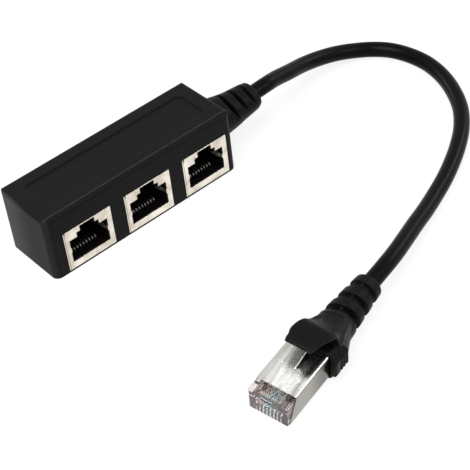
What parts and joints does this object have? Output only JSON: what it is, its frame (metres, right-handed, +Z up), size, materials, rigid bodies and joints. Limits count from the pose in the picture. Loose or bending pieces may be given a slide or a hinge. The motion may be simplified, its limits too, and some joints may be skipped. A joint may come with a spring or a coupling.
{
  "type": "rj45 splitter adapter",
  "caption": "Black moulded network splitter box with shielded modular jacks along one side, and a short cable that ends in a shielded modular plug with a moulded boot.",
  "frame": {"origin": "bottom centre of the box, on the surface that it stands on", "axes": "+X along the box's length towards the end that the cable leaves, -Y out of the jacks, +Z up"},
  "size_m": [0.1383, 0.1049, 0.0206],
  "materials": {
    "black_abs": "fine satin mould texture",
    "cover_abs": "fine satin mould texture",
    "board_laminate": "green solder resist",
    "lead_insulation": "extruded insulation",
    "black_pvc": "soft satin vinyl",
    "cable_jacket": "smooth vinyl with a soft sheen",
    "nickel_sheet": "nickel-plated sheet, satin",
    "jack_plastic": "matt black moulding",
    "carrier_plastic": "matt black moulding",
    "gilt_contact": "gold-plated spring wire",
    "clear_plastic": "clear polycarbonate",
    "plug_nickel": "nickel-plated sheet, bright",
    "load_bar_plastic": "clear polycarbonate",
    "boot_pvc": "soft satin vinyl",
    "plug_gilt": "gold-plated blade",
    "wire_pale_orange": "extruded insulation",
    "wire_orange": "extruded insulation",
    "wire_pale_green": "extruded insulation",
    "wire_blue": "extruded insulation",
    "wire_pale_blue": "extruded insulation",
    "wire_green": "extruded insulation",
    "wire_pale_brown": "extruded insulation",
    "wire_brown": "extruded insulation"
  },
  "bodies": {
    "root": {"housing_shell": "black_abs", "bottom_cover": "cover_abs", "circuit_board": "board_laminate", "board_leads": "lead_insulation", "cable_strain_relief": "black_pvc", "cable": "cable_jacket", "jack_1_shield": "nickel_sheet", "jack_2_shield": "nickel_sheet", "jack_3_shield": "nickel_sheet", "jack_1_housing": "jack_plastic", "jack_2_housing": "jack_plastic", "jack_3_housing": "jack_plastic", "jack_1_contact_carrier": "carrier_plastic", "jack_2_contact_carrier": "carrier_plastic", "jack_3_contact_carrier": "carrier_plastic", "jack_1_contact_1": "gilt_contact", "jack_1_contact_2": "gilt_contact", "jack_1_contact_3": "gilt_contact", "jack_1_contact_4": "gilt_contact", "jack_1_contact_5": "gilt_contact", "jack_1_contact_6": "gilt_contact", "jack_1_contact_7": "gilt_contact", "jack_1_contact_8": "gilt_contact", "jack_2_contact_1": "gilt_contact", "jack_2_contact_2": "gilt_contact", "jack_2_contact_3": "gilt_contact", "jack_2_contact_4": "gilt_contact", "jack_2_contact_5": "gilt_contact", "jack_2_contact_6": "gilt_contact", "jack_2_contact_7": "gilt_contact", "jack_2_contact_8": "gilt_contact", "jack_3_contact_1": "gilt_contact", "jack_3_contact_2": "gilt_contact", "jack_3_contact_3": "gilt_contact", "jack_3_contact_4": "gilt_contact", "jack_3_contact_5": "gilt_contact", "jack_3_contact_6": "gilt_contact", "jack_3_contact_7": "gilt_contact", "jack_3_contact_8": "gilt_contact", "plug_body": "clear_plastic", "plug_shield": "plug_nickel", "plug_load_bar": "load_bar_plastic", "plug_boot": "boot_pvc", "plug_contact_1": "plug_gilt", "plug_contact_2": "plug_gilt", "plug_contact_3": "plug_gilt", "plug_contact_4": "plug_gilt", "plug_contact_5": "plug_gilt", "plug_contact_6": "plug_gilt", "plug_contact_7": "plug_gilt", "plug_contact_8": "plug_gilt", "wire_1": "wire_pale_orange", "wire_2": "wire_orange", "wire_3": "wire_pale_green", "wire_4": "wire_blue", "wire_5": "wire_pale_blue", "wire_6": "wire_green", "wire_7": "wire_pale_brown", "wire_8": "wire_brown"}
  },
  "joints": []
}
